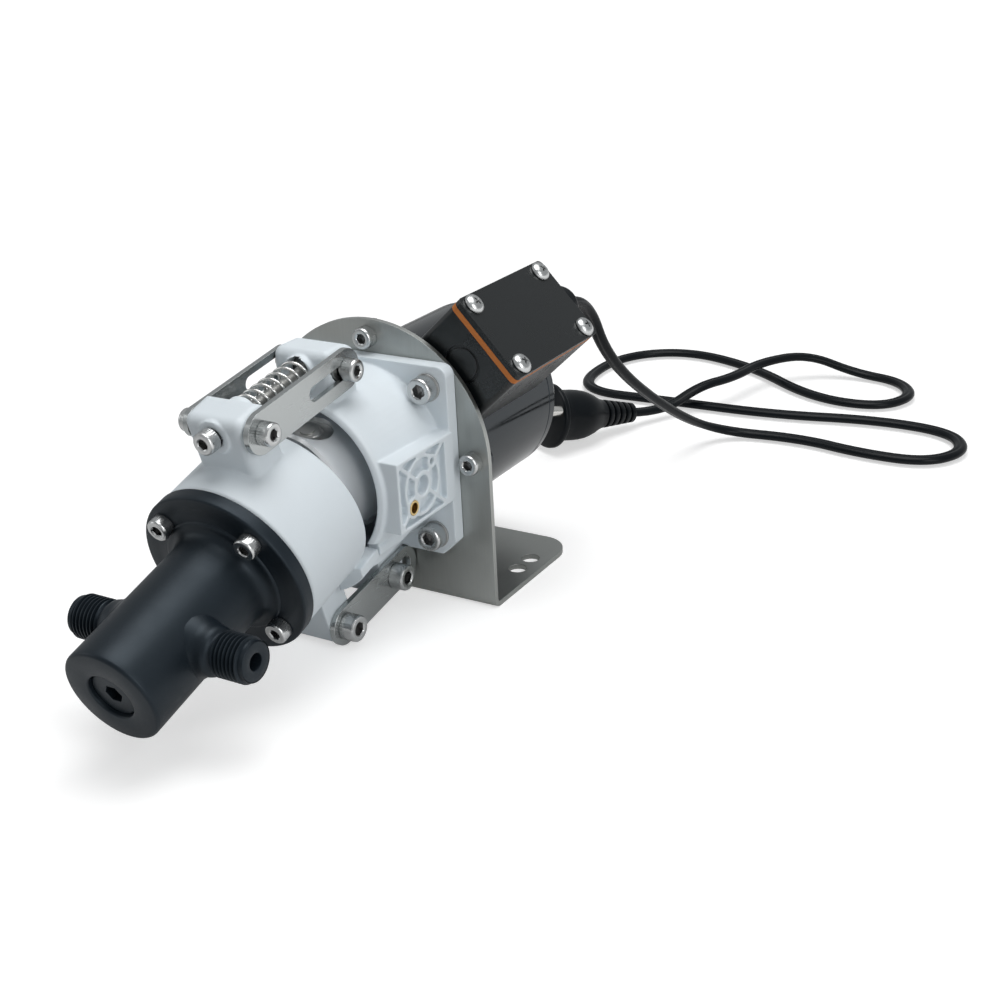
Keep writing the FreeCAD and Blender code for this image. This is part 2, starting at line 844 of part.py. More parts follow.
def adjusting_screw():
    face = upper_front.sub(upper_way * adjust_head_out)
    return aim(socket_screw(upper_length + adjust_head_out + 5), face, upper_way * -1)


def spring_wire():
    first = 6.5 + seat_height + wire_radius + 0.15
    last = upper_length - (upper_rear_y - rear_block_front) - seat_height - wire_radius - 0.25
    pitch = (last - first) / spring_turns
    helix = Part.makeHelix(pitch, last - first, spring_radius)
    circle = Part.Circle(V(spring_radius, 0, 0), V(0, 1, 0), wire_radius).toShape()
    pipe = Part.Wire(helix.Edges).makePipeShell([Part.Wire([circle])], True, True)
    return aim(pipe, upper_front.add(upper_way * first), upper_way)


# Terminal box, drawn upright and turned about the motor axis

def box_place(shape):
    made = shape.copy()
    made.rotate(V(0, 0, 0), V(0, 1, 0), box_turn)
    return made


def rounded_box(half, y0, y1, z0, z1, corner):
    made = block(-half, half, y0, y1, z0, z1)
    upright = edges_at(made, lambda c, e: near(abs(c.x), half) and (near(c.y, y0) or near(c.y, y1)))
    upright = [e for e in upright if near(e.Length, z1 - z0)]
    return made.makeFillet(corner, upright)


def box_body():
    top = box_top - lid_thick - gasket_thick
    made = rounded_box(box_half, box_front, box_rear, 20, top, box_corner)
    well = rounded_box(box_half - box_wall, box_front + box_wall, box_rear - box_wall, 34, top + 1, box_corner - 1)
    made = made.cut([well, rod_y(motor_radius + tapped_gap, 0, 70)])
    for x, y in lid_spots():
        made = made.fuse(rod(post_radius, V(x, y, 33), V(x, y, top)))
    holes = [rod(1.5, V(x, y, top - 10), V(x, y, top + 1)) for x, y in lid_spots()]
    ring = rod_y(6.2, box_front - 1, box_front + 0.5, 0, 44).cut(rod_y(5.2, box_front - 2, box_front + 2, 0, 44))
    return made.cut(holes + [ring])


def lid_spots():
    return [(x, y) for x in (-lid_screw_x, lid_screw_x) for y in (lid_screw_front, lid_screw_rear)]


def box_gasket():
    low = box_top - lid_thick - gasket_thick
    made = rounded_box(box_half, box_front, box_rear, low, low + gasket_thick, box_corner)
    well = rounded_box(box_half - box_wall, box_front + box_wall, box_rear - box_wall, low - 1, box_top, box_corner - 1)
    made = made.cut(well)
    for x, y in lid_spots():
        made = made.fuse(rod(post_radius, V(x, y, low), V(x, y, low + gasket_thick)))
    return made.cut([rod(1.6, V(x, y, low - 1), V(x, y, box_top)) for x, y in lid_spots()])


def box_lid():
    made = rounded_box(box_half, box_front, box_rear, box_top - lid_thick, box_top, box_corner)
    return made.cut([rod(1.7, V(x, y, box_top - 3), V(x, y, box_top + 1)) for x, y in lid_spots()])


def lid_screws():
    return grouped([aim(pan_screw(9.0, 1.45), V(x, y, box_top), V(0, 0, 1)) for x, y in lid_spots()])


def cord_gland():
    profile = [(0, box_rear), (gland_radius, box_rear), (gland_radius, box_rear + 3.5),
               (gland_radius - 2.2, gland_end), (0, gland_end)]
    made = turned_y(profile)
    made.translate(V(0, 0, gland_at))
    return made


# Cord and plug

def cord_points():
    a = math.radians(box_turn)
    x = gland_at * math.sin(a)
    z = gland_at * math.cos(a)
    low = cord_floor
    high = cord_hump
    end = plug_end_point
    lead = end.add(V(7.6, 15.2, -3.4))
    return [V(x, gland_end, z), V(x, gland_end + 19, z), V(40.5, 100.5, 4.0), V(43.5, 140, -28),
            V(46, 172, low), V(80, 177, low), V(106, 171, low), V(132, 171.5, low), V(142.4, 189, low),
            V(132, 207, low), V(100, 209, low), V(60, 199, low), V(14, 197.5, low), V(-32, 195, low),
            V(-36, 243, low), V(-10, 266, low), V(29, 255, low), V(66, 226, low), V(96, 224, low),
            V(106.4, 242, low), V(96, 260, low), V(74, 264, low), V(54, 257, high), V(39, 238, high),
            V(36, 214, high), V(27, 197.5, high), lead, end]


def cord_path(points):
    """Straight runs joined by tangent arcs; returns the wire and the arc radii."""
    edges = []
    radii = []
    last = points[0]
    for before, corner, after in zip(points, points[1:], points[2:]):
        back = before.sub(corner)
        ahead = after.sub(corner)
        run = min(back.Length, ahead.Length)
        back.normalize()
        ahead.normalize()
        half = (math.pi - back.getAngle(ahead)) / 2
        reach = 0.45 * run
        radius = reach / math.tan(half)
        start = corner.add(back * reach)
        end = corner.add(ahead * reach)
        inward = back.add(ahead).normalize()
        middle = corner.add(inward * (radius / math.cos(half) - radius))
        edges.append(Part.LineSegment(last, start).toShape())
        edges.append(Part.Arc(start, middle, end).toShape())
        radii.append(radius)
        last = end
    edges.append(Part.LineSegment(last, points[-1]).toShape())
    return Part.Wire(edges), radii


def cord():
    points = cord_points()
    wire, radii = cord_path(points)
    way = points[1].sub(points[0])
    circle = Part.Wire([Part.Circle(points[0], way, cord_diameter / 2).toShape()])
    made = wire.makePipeShell([circle], True, False)
    section = math.pi * cord_diameter ** 2 / 4
    print("cord length", round(wire.Length, 1), "smallest radius", round(min(radii), 1))
    print("radii", [round(r, 1) for r in radii])
    print("cord volume", round(made.Volume, 1), "of", round(section * wire.Length, 1))
    return made


def plug_frame(shape):
    points = cord_points()
    way = points[-1].sub(points[-2])
    made = aim(shape, plug_end_point, way)
    return made


def plug_body():
    """Drawn along +Z from the cord mouth at 0 to the front disc at plug_length."""
    rear = plug_length - plug_disc_thick
    profile = [(0, 0), (4.0, 0), (5.8, 16.5), (6.2, 18), (8.3, 22.5), (9.8, 27), (10.3, 32), (10.3, rear - 3.5),
               (plug_disc_radius - 1.5, rear), (plug_disc_radius, rear + 1), (plug_disc_radius, plug_length - 0.8),
               (plug_disc_radius - 0.8, plug_length), (0, plug_length)]
    return plug_frame(turned(profile))


def plug_pins():
    made = []
    for side in (-1, 1):
        x = side * plug_pin_at
        body = rod(plug_pin_radius, V(x, 0, plug_length), V(x, 0, plug_length + plug_pin_length - 1))
        tip = Part.makeCone(plug_pin_radius, plug_pin_radius * 0.55, 1.0, V(x, 0, plug_length + plug_pin_length - 1))
        made.append(plug_frame(body.fuse(tip)))
    return grouped(made)


pieces = {
    "bracket": bracket(),
    "motor_front_bell": motor_front_bell(),
    "motor_shell": motor_shell(),
    "motor_rear_bell": motor_rear_bell(),
    "motor_bearings": motor_bearings(),
    "stator": stator(),
    "windings": windings(),
    "motor_screws": motor_screws(),
    "base_housing": base_housing(),
    "base_screws": base_screws(),
    "base_washers": base_washers(),
    "brass_insert": brass_insert(),
    "lower_rear_screw": lower_cross_screw(lower_rear),
    "box_body": box_place(box_body()),
    "box_gasket": box_place(box_gasket()),
    "box_lid": box_place(box_lid()),
    "lid_screws": box_place(lid_screws()),
    "cord_gland": box_place(cord_gland()),
    "cord": cord(),
    "plug_body": plug_body(),
    "plug_pins": plug_pins(),
    "cup_housing": head_place(cup_housing()),
    "head_block": head_place(head_block()),
    "flange_screws": head_place(flange_screws()),
    "ceramic_liner": head_place(ceramic_liner()),
    "lip_seals": head_place(lip_seals()),
    "end_plug": head_place(end_plug()),
    "drive_shaft": drive_shaft(),
    "rotor": rotor(),
    "drum": drum(),
    "drum_set_screw": drum_set_screw(),
    "bearing_race": bearing_race(),
    "bearing_ball": bearing_ball(),
    "drive_pin": drive_pin(),
    "piston_cap": head_place(piston_cap()),
    "piston": head_place(piston()),
    "upper_strap_near": upper_strap(1),
    "upper_strap_far": upper_strap(-1),
    "front_trunnion": front_trunnion(),
    "upper_front_screw": cross_screw(upper_front, 4.5),
    "adjusting_screw": adjusting_screw(),
    "adjusting_spring": spring_wire(),
    "rear_trunnion": rear_trunnion(),
    "upper_rear_screw": cross_screw(upper_rear, 4.5),
    "lower_strap_near": lower_strap(1),
    "lower_strap_far": lower_strap(-1),
    "lower_front_screw": lower_cross_screw(lower_front),
}

to_origin = V(0, -foot_hole_mid_y, axis_height)
for name, shape in pieces.items():
    shape.translate(to_origin)
    if not shape.isValid() or shape.Volume <= 0:
        print("check", name, shape.isValid(), shape.Volume)
    shape.exportStep("parts/" + name + ".step")
print(len(pieces), "pieces")
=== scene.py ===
# %% [markdown]
# # Ceramic metering pump
# A small dosing pump on an L bracket. The motor turns a polished drum, a bearing in the drum's
# wall drives a ceramic piston, and the pump head tilts with its white cup to set the stroke. This
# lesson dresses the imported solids: it loads them, sets the camera, mixes the finishes, lays the
# cord, and then makes each visible piece with the edges, threads, knurls and grain that the plain
# solids lack.

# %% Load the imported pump
import bpy
import bmesh
import json
import math
from mathutils import Matrix, Vector


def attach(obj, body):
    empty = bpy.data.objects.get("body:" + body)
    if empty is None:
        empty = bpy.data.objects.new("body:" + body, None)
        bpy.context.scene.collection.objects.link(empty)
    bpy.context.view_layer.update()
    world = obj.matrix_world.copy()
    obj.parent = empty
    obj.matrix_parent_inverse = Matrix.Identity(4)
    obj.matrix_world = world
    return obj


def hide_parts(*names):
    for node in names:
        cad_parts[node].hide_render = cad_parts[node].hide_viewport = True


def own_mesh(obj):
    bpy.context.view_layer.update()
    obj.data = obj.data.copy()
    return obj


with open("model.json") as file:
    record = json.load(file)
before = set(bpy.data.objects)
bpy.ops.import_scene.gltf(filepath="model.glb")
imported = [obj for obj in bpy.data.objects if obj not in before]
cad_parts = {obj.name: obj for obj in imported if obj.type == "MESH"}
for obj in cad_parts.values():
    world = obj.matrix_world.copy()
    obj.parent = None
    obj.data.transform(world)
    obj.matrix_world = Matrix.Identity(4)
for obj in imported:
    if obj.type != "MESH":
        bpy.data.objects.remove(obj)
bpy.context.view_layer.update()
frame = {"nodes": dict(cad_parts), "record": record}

# %% [markdown]
# ## One frame for everything
# The sizes were measured in millimetres from the motor axis, with Y running to the rear. The
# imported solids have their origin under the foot, so one small function carries a measured point
# into that frame. The tilted head has a second one, along its own axis v.

# %% From the pump's sizes to the frame
foot_mid_y = 30.6
axis_height = 50.0
tilt = math.radians(16.5)
cross_y = -37.5
upper_front = (-68.8, 29.8)
upper_rear = (-28.7, 35.9)
lower_front = (-40.1, -43.5)
lower_rear = (-12.5, -38.4)


def at(x, y, z):
    return Vector((x, y - foot_mid_y, z + axis_height)) / 1000


def in_head(u, v, w):
    c, s = math.cos(tilt), math.sin(tilt)
    return at(u, cross_y - c * v - s * w, c * w - s * v)


head_way = (in_head(0, 1, 0) - in_head(0, 0, 0)).normalized()
strap_way = (at(0, *upper_rear) - at(0, *upper_front)).normalized()
box_turn = math.radians(46.9)
box_up = Vector((math.sin(box_turn), 0, math.cos(box_turn)))
box_side = Vector((math.cos(box_turn), 0, -math.sin(box_turn)))


def on_box(side, y, up):
    return at(0, y, 0) + (box_side * side + box_up * up) / 1000


# %% [markdown]
# ## Camera
# The photograph looks from the front right and a little above, with a slight roll. Its place and
# field of view were worked out from the round bracket, the foot and the screw circles.

# %% Camera at the photograph's angle
def look(azimuth, elevation, roll, distance, aside, above):
    a, e, r = (math.radians(t) for t in (azimuth, elevation, roll))
    back = Vector((math.sin(a) * math.cos(e), -math.cos(a) * math.cos(e), math.sin(e)))
    right = Vector((math.cos(a), math.sin(a), 0))
    up = back.cross(right)
    right, up = right * math.cos(r) + up * math.sin(r), up * math.cos(r) - right * math.sin(r)
    place = at(0, 0, 0) + (back * distance + right * aside + up * above) / 1000
    turned = Matrix((right, up, back)).transposed().to_4x4()
    return Matrix.Translation(place) @ turned


sensor_mm = 36.0
lens_per_sensor = 1.5024
camera_data = bpy.data.cameras.new("camera")
camera_data.sensor_width = sensor_mm
camera_data.lens = sensor_mm * lens_per_sensor
camera_data.clip_start = 0.01
camera = bpy.data.objects.new("camera", camera_data)
bpy.context.collection.objects.link(camera)
camera.matrix_world = look(azimuth=31.374, elevation=23.067, roll=-2.755, distance=483.16,
                           aside=39.69, above=-17.68)
bpy.context.scene.camera = camera
bpy.context.view_layer.update()
print("camera at", [round(x, 4) for x in camera.matrix_world.translation])

# %% [markdown]
# ## Shader maths
# A finish is a sum of a few patterns. Wrapping a socket in a small class lets those sums be
# written as plain expressions, and each expression leaves its Math nodes in the material.

# %% A socket that does arithmetic
class Wire:
    """A value in a material's node tree."""

    def __init__(self, tree, socket):
        self.tree = tree
        self.socket = socket

    def node(self, kind, settings=None, inputs=None, out=0):
        made = self.tree.nodes.new(kind)
        for key, value in (settings or {}).items():
            setattr(made, key, value)
        for key, value in (inputs or {}).items():
            if isinstance(value, Wire):
                self.tree.links.new(value.socket, made.inputs[key])
            else:
                made.inputs[key].default_value = value
        return Wire(self.tree, made.outputs[out])

    def math(self, operation, *values):
        inputs = {i: v for i, v in enumerate(values)}
        return self.node("ShaderNodeMath", {"operation": operation}, inputs)

    def __add__(self, other):
        return self.math("ADD", self, other)

    __radd__ = __add__

    def __mul__(self, other):
        return self.math("MULTIPLY", self, other)

    __rmul__ = __mul__

    def __sub__(self, other):
        return self.math("SUBTRACT", self, other)

    def __rsub__(self, other):
        return self.math("SUBTRACT", other, self)

    def clamp(self):
        return self.node("ShaderNodeClamp", inputs={"Value": self})

    def mix(self, first, second):
        """Colour between first and second, each a colour or a wire; this value is second's share."""
        inputs = {0: self, 6: first, 7: second}
        return self.node("ShaderNodeMix", {"data_type": "RGBA", "clamp_factor": True}, inputs, out=2)

    def bump(self, strength, distance):
        inputs = {"Strength": strength, "Distance": distance, "Height": self}
        return self.node("ShaderNodeBump", inputs=inputs)


# %% [markdown]
# ## Finishes
# Each finish starts from one shader and adds what the real surface shows: long grinding lines on
# the stainless plate, rings left by the lathe, the soft waviness of moulded plastic, fine grain
# on the machined head. All patterns read Object coordinates, so they stay put from every side.

# %% Helpers for the finishes
def new_finish(name, colour, roughness, metallic=0.0, **fixed):
    material = bpy.data.materials.new(name)
    material.use_nodes = True
    tree = material.node_tree
    shader = tree.nodes["Principled BSDF"]
    shader.inputs["Base Color"].default_value = (*colour, 1)
    shader.inputs["Roughness"].default_value = roughness
    shader.inputs["Metallic"].default_value = metallic
    for key, value in fixed.items():
        shader.inputs[key.replace("_", " ")].default_value = value
    place = Wire(tree, tree.nodes.new("ShaderNodeTexCoord").outputs["Object"])
    return material, shader, place


def feed(material, shader, **wires):
    for key, wire in wires.items():
        material.node_tree.links.new(wire.socket, shader.inputs[key.replace("_", " ")])
    return material


def pattern(place, scale, stretch=(1, 1, 1), turn=(0, 0, 0), detail=4.0, rough=0.55):
    """Noise from 0 to 1 about 0.5; stretch is how many times finer each way is."""
    mapped = place.node("ShaderNodeMapping", inputs={"Vector": place, "Scale": stretch, "Rotation": turn})
    inputs = {"Vector": mapped, "Scale": scale, "Detail": detail, "Roughness": rough}
    return place.node("ShaderNodeTexNoise", inputs=inputs)


# %% Ground stainless sheet
def ground_steel(name, shade, stretch, turn=(0, 0, 0), roughness=0.3, mottle=0.2):
    """Fine grinding lines; stretch is small along the lines, mottle is the depth of the clouds."""
    material, shader, place = new_finish(name, shade, roughness, 1.0)
    lines = pattern(place, 1400, stretch, turn, 2.0, 0.5)
    cloud = pattern(place, 55, detail=5.0, rough=0.6)
    dark = tuple(c * (1 - mottle) for c in shade)
    colour = (lines * 0.3 + cloud * 0.7).clamp().mix((*dark, 1), (*shade, 1))
    rough = (lines - 0.5) * 0.08 + (cloud - 0.5) * mottle + roughness
    scratches = lines.bump(0.05, 0.00002)
    return feed(material, shader, Base_Color=colour, Roughness=rough.clamp(), Normal=scratches)


bracket_steel = ground_steel("bracket_steel", (0.46, 0.475, 0.46), (1, 0.04, 0.04),
                             roughness=0.36, mottle=0.34)
strap_steel = ground_steel("strap_steel", (0.46, 0.48, 0.48), (1, 0.06, 1), (0.15, 0, 0),
                           roughness=0.25, mottle=0.12)
laminations = ground_steel("laminations", (0.22, 0.22, 0.23), (0.05, 1, 0.05), roughness=0.5)
copper_wire = ground_steel("copper_wire", (0.62, 0.26, 0.10), (0.1, 1, 1), roughness=0.35)

# %% [markdown]
# Screws, pins, the spring and the insert share one recipe with faint clouds. Where a mesh carries the painted
# shade mark, such as deep in a socket, the metal is painted dark as shade.

# %% Turned and drawn metal
def turned_metal(name, shade, roughness):
    material, shader, place = new_finish(name, shade, roughness, 1.0)
    fine = pattern(place, 1800, detail=2.0)
    cloud = pattern(place, 120, detail=3.0)
    dark = tuple(c * 0.8 for c in shade)
    colour = (cloud * 0.7 + fine * 0.3).clamp().mix((*dark, 1), (*shade, 1))
    painted_shade = place.node("ShaderNodeAttribute", {"attribute_name": "painted_shade"}, out=2)
    # Painted shade: marked hollows such as sockets and recesses turn dark grey.
    colour = painted_shade.mix(colour, (0.26, 0.26, 0.26, 1))
    rough = (cloud - 0.5) * 0.25 + roughness
    grain = fine.bump(0.1, 0.00003)
    return feed(material, shader, Base_Color=colour, Roughness=rough.clamp(), Normal=grain)


screw_steel = turned_metal("screw_steel", (0.58, 0.59, 0.59), 0.26)
# Plain steel is a darker copy of the screw steel; its darker tone is partly painted shade for the bearing in
# its recess and the thread inside the spring.
plain_steel = turned_metal("plain_steel", (0.50, 0.50, 0.49), 0.34)
spring_steel = turned_metal("spring_steel", (0.78, 0.78, 0.76), 0.18)
brass = turned_metal("brass", (0.78, 0.58, 0.26), 0.28)
plated_pin = turned_metal("plated_pin", (0.78, 0.77, 0.74), 0.2)

# %% [markdown]
# The drum is polished, with faint rings from the lathe and a few smears of grease.

# %% Polished drum
material, shader, place = new_finish("polished_steel", (0.90, 0.92, 0.94), 0.22, 0.66)
rings = pattern(place, 2200, (0.02, 1, 0.02), detail=2.0)
smear = pattern(place, 60, detail=4.0)
polished_steel = feed(material, shader, Roughness=((smear - 0.5) * 0.1 + 0.2).clamp(),
                      Normal=rings.bump(0.05, 0.00003))

# %% [markdown]
# Plastics and rubber have slow waves from the mould and fine grain. A bluish tint painted into the highlights
# of the blacks stands for the cool studio light.

# %% Moulded and machined plastics, rubber and paint
def plastic(name, colour, roughness, wave=0.1, grain=0.1, grain_scale=2400, spread=0.06, **fixed):
    material, shader, place = new_finish(name, colour, roughness, **fixed)
    waves = pattern(place, 90, detail=3.0)
    fine = pattern(place, grain_scale, detail=2.0)
    dark = tuple(c * (1 - spread * 2) for c in colour)
    shade = (waves * 0.7 + fine * 0.3).clamp().mix((*dark, 1), (*colour, 1))
    rough = (waves - 0.5) * 0.2 + (fine - 0.5) * 0.1 + roughness
    height = waves * wave + fine * grain
    return feed(material, shader, Base_Color=shade, Roughness=rough.clamp(), Normal=height.bump(0.35, 0.0001))


white_plastic = plastic("white_plastic", (0.70, 0.76, 0.80), 0.5, wave=1.0, grain=0.12, spread=0.03)
black_plastic = plastic("black_plastic", (0.005, 0.0085, 0.0125), 0.44, wave=0.1, grain=0.25, spread=0.12,
                        Specular_IOR_Level=0.34, Specular_Tint=(0.74, 0.88, 1, 1))
box_black = plastic("box_black", (0.005, 0.007, 0.008), 0.3, wave=0.02, grain=0.03, grain_scale=1800,
                    spread=0.12, Specular_IOR_Level=0.48)
motor_black = plastic("motor_black", (0.002, 0.003, 0.004), 0.13, wave=0.04, grain=0.01, spread=0.1,
                      Specular_IOR_Level=0.4, Specular_Tint=(0.74, 0.88, 1, 1))
cord_black = plastic("cord_black", (0.004, 0.006, 0.008), 0.32, wave=0.1, grain=0.2, spread=0.15,
                     Specular_IOR_Level=0.14)
seal_rubber = plastic("seal_rubber", (0.03, 0.03, 0.03), 0.6)
orange_rubber = plastic("orange_rubber", (0.56, 0.17, 0.025), 0.62, wave=0.2, grain=0.9, grain_scale=1500,
                        spread=0.14)
ceramic = plastic("ceramic", (0.86, 0.84, 0.78), 0.18, wave=0.1, grain=0.05, spread=0.02)

# %% [markdown]
# The finishes go by the names of the record's slots, and each solid gets its own.

# %% Finishes on the solids
finishes = {
    "bracket_steel": bracket_steel, "strap_steel": strap_steel, "screw_steel": screw_steel,
    "plain_steel": plain_steel, "spring_steel": spring_steel, "brass": brass, "plated_pin": plated_pin,
    "laminations": laminations, "copper_wire": copper_wire, "polished_steel": polished_steel,
    "white_plastic": white_plastic, "black_plastic": black_plastic, "box_black": box_black,
    "motor_black": motor_black, "cord_black": cord_black, "seal_rubber": seal_rubber,
    "orange_rubber": orange_rubber, "ceramic": ceramic}
slot_of = {p["node"]: p["material_slot"] for p in frame["record"]["subparts"]}
body_of = {n: body for body, names in frame["record"]["behaviour"]["bodies"].items() for n in names}
for name, node in frame["nodes"].items():
    node.data.materials.clear()
    node.data.materials.append(finishes[slot_of[name]])
print(len(finishes), "finishes on", len(frame["nodes"]), "nodes")


# %% [markdown]
# ## How a piece joins the pump
# A finished piece takes its finish from a slot of the record, rides on the body of the solid that
# it stands for, and hides that solid. One function does the three calls.

# %% Dress a piece
def dress(piece, node, finish=None):
    slot = finish or slot_of[node]
    piece.data.materials.clear()
    piece.data.materials.append(finishes[slot])
    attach(piece, body_of[node])
    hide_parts(node)
    return piece


def mesh_object(name, bm, smooth_angle=35):
    data = bpy.data.meshes.new(name)
    bm.to_mesh(data)
    bm.free()
    piece = bpy.data.objects.new(name, data)
    bpy.context.collection.objects.link(piece)
    data.shade_smooth()
    data.set_sharp_from_angle(angle=math.radians(smooth_angle))
    return piece


def plain_mesh(piece):
    """Turns a piece with modifiers into a plain mesh of the same name."""
    bpy.context.view_layer.update()
    evaluated = piece.evaluated_get(bpy.context.evaluated_depsgraph_get())
    data = bpy.data.meshes.new_from_object(evaluated)
    piece.modifiers.clear()
    piece.data = data
    return piece


# %% [markdown]
# ## Broken edges
# Sheet metal and turned pieces are never quite sharp: a thin bright line runs along every edge.
# A copy of the solid gets its triangles joined into flat faces, and a Bevel modifier rounds the
# edges by a few tenths of a millimetre. This keeps the solid's exact size.

# %% A solid's copy with broken edges
def welded(node):
    """The solid's triangles, joined where their corners meet."""
    bm = bmesh.new()
    bm.from_mesh(frame["nodes"][node].data)
    bmesh.ops.remove_doubles(bm, verts=bm.verts, dist=0.000004)
    return bm


def soft_edged(node, width_mm, finish=None):
    flat_angle = 0.6
    sharp_angle = 32
    bm = welded(node)
    bmesh.ops.dissolve_limit(bm, angle_limit=math.radians(flat_angle), verts=bm.verts, edges=bm.edges)
    piece = mesh_object(node + "_skin", bm, sharp_angle)
    bevel = piece.modifiers.new("edges", "BEVEL")
    bevel.width = width_mm / 1000
    bevel.segments = 2
    bevel.limit_method = "ANGLE"
    bevel.angle_limit = math.radians(sharp_angle)
    bevel.harden_normals = True
    bevel.use_clamp_overlap = True
    plain_mesh(piece)
    return dress(piece, node, finish)


# %% [markdown]
# ## Turned pieces
# A lathe profile is a list of radii and heights, spun round Z. `lathe` does the spin and closes
# the seam; the piece is then laid along its own axis by a matrix worked out from a point and a
# direction.

# %% Lathe and placing helpers
def lathe(name, profile_mm, steps=96, smooth_angle=30):
    bm = bmesh.new()
    verts = [bm.verts.new((r / 1000, 0, z / 1000)) for r, z in profile_mm]
    edges = [bm.edges.new(pair) for pair in zip(verts, verts[1:])]
    bmesh.ops.spin(bm, geom=verts + edges, cent=(0, 0, 0), axis=(0, 0, 1), angle=math.tau, steps=steps)
    bmesh.ops.remove_doubles(bm, verts=bm.verts, dist=0.000001)
    bmesh.ops.recalc_face_normals(bm, faces=bm.faces)
    return mesh_object(name, bm, smooth_angle)


def aimed(point, way, spin=0.0):
    """Matrix that takes +Z to way and the origin to point."""
    turn = Vector(way).to_track_quat("Z", "Y").to_matrix().to_4x4()
    return Matrix.Translation(point) @ turn @ Matrix.Rotation(spin, 4, "Z")


def place_mesh(piece, matrix):
    piece.data.transform(matrix)
    return piece


# %% [markdown]
# ## Cord
# The flat two core lead leaves the terminal box, drops to the bench and lies in loose loops that
# end at the plug. One smooth NURBS curve carries it along the points of the solid's route. The
# first three points behind the gland are drawn in a few millimetres, closer to the box.

# %% Route of the cord
floor_z = -47.4
hump_z = floor_z + 8.6
gland_reach = 50.5
gland_x = gland_reach * math.sin(box_turn)
gland_z = gland_reach * math.cos(box_turn)
route = [
    (gland_x, 61.5, gland_z), (gland_x, 75.5, gland_z), (35.2, 95.2, 4.0), (40.6, 136.6, -28),
    (46, 172, floor_z), (80, 177, floor_z), (106, 171, floor_z), (132, 171.5, floor_z),
    (142.4, 189, floor_z), (132, 207, floor_z), (100, 209, floor_z), (60, 199, floor_z),
    (14, 197.5, floor_z), (-32, 195, floor_z), (-36, 243, floor_z), (-10, 266, floor_z),
    (29, 255, floor_z), (66, 226, floor_z), (96, 224, floor_z), (106.4, 242, floor_z),
    (96, 260, floor_z), (74, 264, floor_z), (54, 257, hump_z), (39, 238, hump_z),
    (36, 214, hump_z), (27, 197.5, hump_z), (17.2, 183.2, -46.8), (9.6, 168, -43.4)]
print(len(route), "points from the gland to the plug")

# %% [markdown]
# The lead's section is an oval with a shallow waist between its two cores. The curve carries that
# section along the route and keeps it flat to the bench.

# %% Cord along the route
cord_width = 0.0052
cord_height = 0.0036
waist_depth = 0.24
waist_width = 0.24
outline_points = 40
outline = []
for i in range(outline_points):
    a = math.tau * i / outline_points
    waist = 1 - waist_depth * math.exp(-(math.cos(a) / waist_width) ** 2)
    outline.append((cord_width / 2 * math.cos(a), cord_height / 2 * math.sin(a) * waist, 0, 1))
section = bpy.data.curves.new("cord_section", "CURVE")
section.dimensions = "2D"
ring = section.splines.new("POLY")
ring.points.add(len(outline) - 1)
for point, co in zip(ring.points, outline):
    point.co = co
ring.use_cyclic_u = True
section_piece = bpy.data.objects.new("cord_section", section)
bpy.context.collection.objects.link(section_piece)
section_piece.hide_render = True

curve = bpy.data.curves.new("cord_line", "CURVE")
curve.dimensions = "3D"
curve.twist_mode = "Z_UP"
spline = curve.splines.new("NURBS")
spline.points.add(len(route) - 1)
for point, place_mm in zip(spline.points, route):
    point.co = (*at(*place_mm), 1)
spline.order_u = 3
spline.use_endpoint_u = True
spline.resolution_u = 14
curve.bevel_mode = "OBJECT"
curve.bevel_object = section_piece
curve.use_fill_caps = True
cord_line = bpy.data.objects.new("cord_line", curve)
bpy.context.collection.objects.link(cord_line)
dress(cord_line, "cord")

# %% [markdown]
# ## Plug
# The moulded plug is a lathe piece. Its strain relief is a row of rings with gaps between them, where the
# real plug bends with the cord, and the wide collar stops the fingers at its end.

# %% Plug and pins
plug_point = at(*route[-1])
plug_way = (Vector(route[-1]) - Vector(route[-2])).normalized()
ring_pitch = 3.2
ring_growth = 0.38
relief = [(2.9, 0.0)]
for i in range(5):
    low = 0.4 + i * ring_pitch
    wide = 4.1 + i * ring_growth
    relief += [(wide - 0.3, low), (wide, low + 0.3), (wide + 0.15, low + 1.9), (wide - 0.15, low + 2.2),
               (wide - 1.4, low + 2.25), (wide - 1.4, low + 3.15)]
plug = lathe("plug_shell", relief + [
    (5.9, 16.6), (6.2, 18), (7.2, 20.4), (8.3, 22.5), (9.3, 25.2), (9.8, 27), (10.15, 29.5), (10.3, 32),
    (10.3, 36.3), (10.35, 40.0), (10.6, 40.6), (12.0, 41.2), (12.7, 41.4), (13.0, 41.8), (13.0, 43.0),
    (12.8, 43.6), (12.2, 44.0), (0, 44.0)], smooth_angle=40)
dress(place_mesh(plug, aimed(plug_point, plug_way)), "plug_body")
pins = soft_edged("plug_pins", 0.3)

# %% [markdown]
# ## Light and floor
# The photograph is a cut out on white. A pale floor takes the pump's shadow, and broad soft lamps
# light it from above and from both sides.

# %% Studio
def area_lamp(name, place, target, size, power):
    data = bpy.data.lights.new(name, "AREA")
    data.shape = "RECTANGLE"
    data.size, data.size_y = size
    data.energy = power
    lamp = bpy.data.objects.new(name, data)
    way = Vector(target) - Vector(place)
    lamp.matrix_world = Matrix.Translation(place) @ way.to_track_quat("-Z", "Y").to_matrix().to_4x4()
    bpy.context.collection.objects.link(lamp)
    return lamp


bpy.context.scene.view_settings.view_transform = "Standard"
area_lamp("lamp_top", (0.05, 0.05, 0.8), (0.0, -0.02, 0.0), (0.6, 0.6), 4.6)
area_lamp("lamp_left", (-0.75, -0.50, 0.42), (0.0, -0.05, 0.04), (0.4, 0.5), 0.7)
area_lamp("lamp_right", (0.75, -0.30, 0.42), (0.0, 0.0, 0.04), (0.35, 0.6), 2.35)

